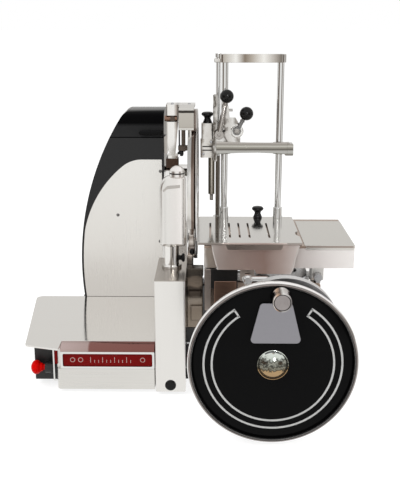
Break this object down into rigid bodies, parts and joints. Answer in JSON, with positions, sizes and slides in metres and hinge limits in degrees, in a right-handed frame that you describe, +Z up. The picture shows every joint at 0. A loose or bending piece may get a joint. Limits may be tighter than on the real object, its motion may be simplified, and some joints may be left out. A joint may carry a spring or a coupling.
{
  "type": "flywheel meat slicer",
  "caption": "Counter-top flywheel meat slicer with disc blade, sliding carriage, slotted meat table and end clamp, turned by a heavy crank wheel through bevel gears.",
  "frame": {"origin": "bottom centre of the slicer's box, on the plane of the rubber feet", "axes": "+Z up, +Y from the flywheel side to the back, +X to the right seen from the flywheel"},
  "size_m": [0.6889, 0.778, 0.656],
  "materials": {
    "gloss_black": "gloss black enamel",
    "satin_black": "satin black enamel",
    "polished_steel": "mirror polished stainless steel",
    "brushed_steel": "brushed stainless steel",
    "chrome": "bright chrome plate",
    "machined_steel": "turned steel",
    "cast_grey": "satin cast aluminium",
    "bronze": "bearing bronze",
    "black_rubber": "moulded rubber",
    "black_plastic": "glossy phenolic",
    "matte_black": "fine textured plastic",
    "stop_red": "glossy red plastic",
    "label_red": "dark red enamel"
  },
  "bodies": {
    "frame": {"base_housing": "satin_black", "base_plate": "machined_steel", "rubber_feet": "black_rubber", "front_panel": "brushed_steel", "label_plate": "label_red", "label_frame": "chrome", "front_trim": "chrome", "receiving_plate": "polished_steel", "slide_column": "brushed_steel", "column_plug": "black_plastic", "bed_walls": "polished_steel", "bed_front_plate": "polished_steel", "rails": "machined_steel", "gear_case": "cast_grey", "shaft_bearings": "bronze", "bearing_bridge": "machined_steel", "belt_case": "polished_steel", "belt_case_cover": "polished_steel", "drive_belt": "black_rubber", "drive_housing": "gloss_black", "side_panel": "brushed_steel", "blade_guard": "polished_steel", "sharpener": "polished_steel", "sharpening_stones": "machined_steel", "edge_guard": "chrome", "guard_knob": "black_plastic", "switch_box": "matte_black", "stop_collar": "matte_black"},
    "lid": {"housing_lid": "gloss_black", "lid_handle": "black_plastic"},
    "flywheel": {"flywheel": "gloss_black", "flywheel_rim": "chrome", "hub_cap": "chrome", "crank_plate": "cast_grey", "flywheel_shaft": "machined_steel"},
    "grip": {"crank_grip": "chrome"},
    "cross": {"cross_shaft": "machined_steel", "drive_pulley": "machined_steel"},
    "crank": {"crank_shaft": "machined_steel", "crank_disc": "machined_steel"},
    "blade": {"blade": "polished_steel", "blade_spindle": "machined_steel"},
    "carriage": {"carriage_deck": "polished_steel", "carriage_skirt": "polished_steel", "carriage_cover": "polished_steel", "guide_blocks": "machined_steel"},
    "rod": {"connecting_rod": "machined_steel"},
    "table": {"meat_table": "polished_steel", "apron": "polished_steel", "posts": "chrome", "top_strap": "brushed_steel"},
    "table_knob": {"table_knob": "black_plastic"},
    "screw": {"feed_screw": "machined_steel"},
    "feed_lever": {"feed_lever": "chrome"},
    "clamp": {"clamp_bar": "brushed_steel", "clamp_blocks": "chrome"},
    "clamp_lever": {"clamp_lever": "chrome"},
    "lock_lever": {"lock_lever": "chrome"},
    "clamp_knob": {"clamp_knob": "black_plastic"},
    "stop_button": {"stop_button": "stop_red"}
  },
  "joints": [
    {"name": "flywheel_turn", "type": "hinge", "parent": "frame", "child": "flywheel", "pos_m": [0.1665, -0.323, 0.157], "axis": [0, 1, 0], "continuous": true},
    {"name": "grip_spin", "type": "hinge", "parent": "flywheel", "child": "grip", "pos_m": [0.1765, -0.373, 0.282], "axis": [0, 1, 0], "continuous": true},
    {"name": "cross_turn", "type": "hinge", "parent": "frame", "child": "cross", "pos_m": [0.0105, 0.127, 0.157], "axis": [1, 0, 0], "continuous": true},
    {"name": "crank_turn", "type": "hinge", "parent": "frame", "child": "crank", "pos_m": [0.1665, 0.062, 0.195], "axis": [0, 0, 1], "continuous": true},
    {"name": "blade_spin", "type": "hinge", "parent": "frame", "child": "blade", "pos_m": [0.0105, 0.217, 0.363], "axis": [1, 0, 0], "continuous": true},
    {"name": "carriage_slide", "type": "slide", "parent": "frame", "child": "carriage", "axis": [0, 1, 0], "range_m": [0, 0.17]},
    {"name": "rod_swing", "type": "hinge", "parent": "carriage", "child": "rod", "pos_m": [0.1665, 0.127, 0.212], "axis": [0, 0, 1], "range_deg": [-34.5, 34.5]},
    {"name": "feed_slide", "type": "slide", "parent": "carriage", "child": "table", "axis": [1, 0, 0], "range_m": [0, 0.095]},
    {"name": "screw_turn", "type": "hinge", "parent": "carriage", "child": "screw", "pos_m": [0.1605, 0.007, 0.272], "axis": [1, 0, 0], "range_deg": [-10, 1720]},
    {"name": "feed_lever_swing", "type": "hinge", "parent": "carriage", "child": "feed_lever", "pos_m": [0.1325, -0.083, 0.232], "axis": [0, 1, 0], "range_deg": [-60, 0]},
    {"name": "table_knob_turn", "type": "hinge", "parent": "table", "child": "table_knob", "pos_m": [0.1635, 0.151, 0.31], "axis": [0, 0, 1], "continuous": true},
    {"name": "clamp_slide", "type": "slide", "parent": "table", "child": "clamp", "axis": [0, 0, 1], "range_m": [-0.035, 0.12]},
    {"name": "clamp_lever_swing", "type": "hinge", "parent": "clamp", "child": "clamp_lever", "pos_m": [0.0765, 0.1215, 0.488], "axis": [0, 1, 0], "range_deg": [-30, 8]},
    {"name": "lock_lever_swing", "type": "hinge", "parent": "clamp", "child": "lock_lever", "pos_m": [0.1145, 0.125, 0.496], "axis": [0, 1, 0], "range_deg": [-15, 45]},
    {"name": "clamp_knob_turn", "type": "hinge", "parent": "clamp", "child": "clamp_knob", "pos_m": [0.0515, 0.151, 0.52], "axis": [0, 0, 1], "continuous": true},
    {"name": "stop_press", "type": "slide", "parent": "frame", "child": "stop_button", "axis": [1, 0, 0], "range_m": [0, 0.004], "stiffness_N_per_m": 500},
    {"name": "lid_open", "type": "hinge", "parent": "frame", "child": "lid", "pos_m": [-0.1095, 0.345, 0.472], "axis": [-1, 0, 0], "range_deg": [0, 70]}
  ],
  "couplings": [
    {"joint": "cross_turn", "follows": "flywheel_turn", "ratio": -1},
    {"joint": "crank_turn", "follows": "flywheel_turn", "ratio": 1},
    {"joint": "blade_spin", "follows": "flywheel_turn", "ratio": -1.5},
    {"joint": "screw_turn", "follows": "feed_slide", "rad_per_m": 314.16}
  ]
}
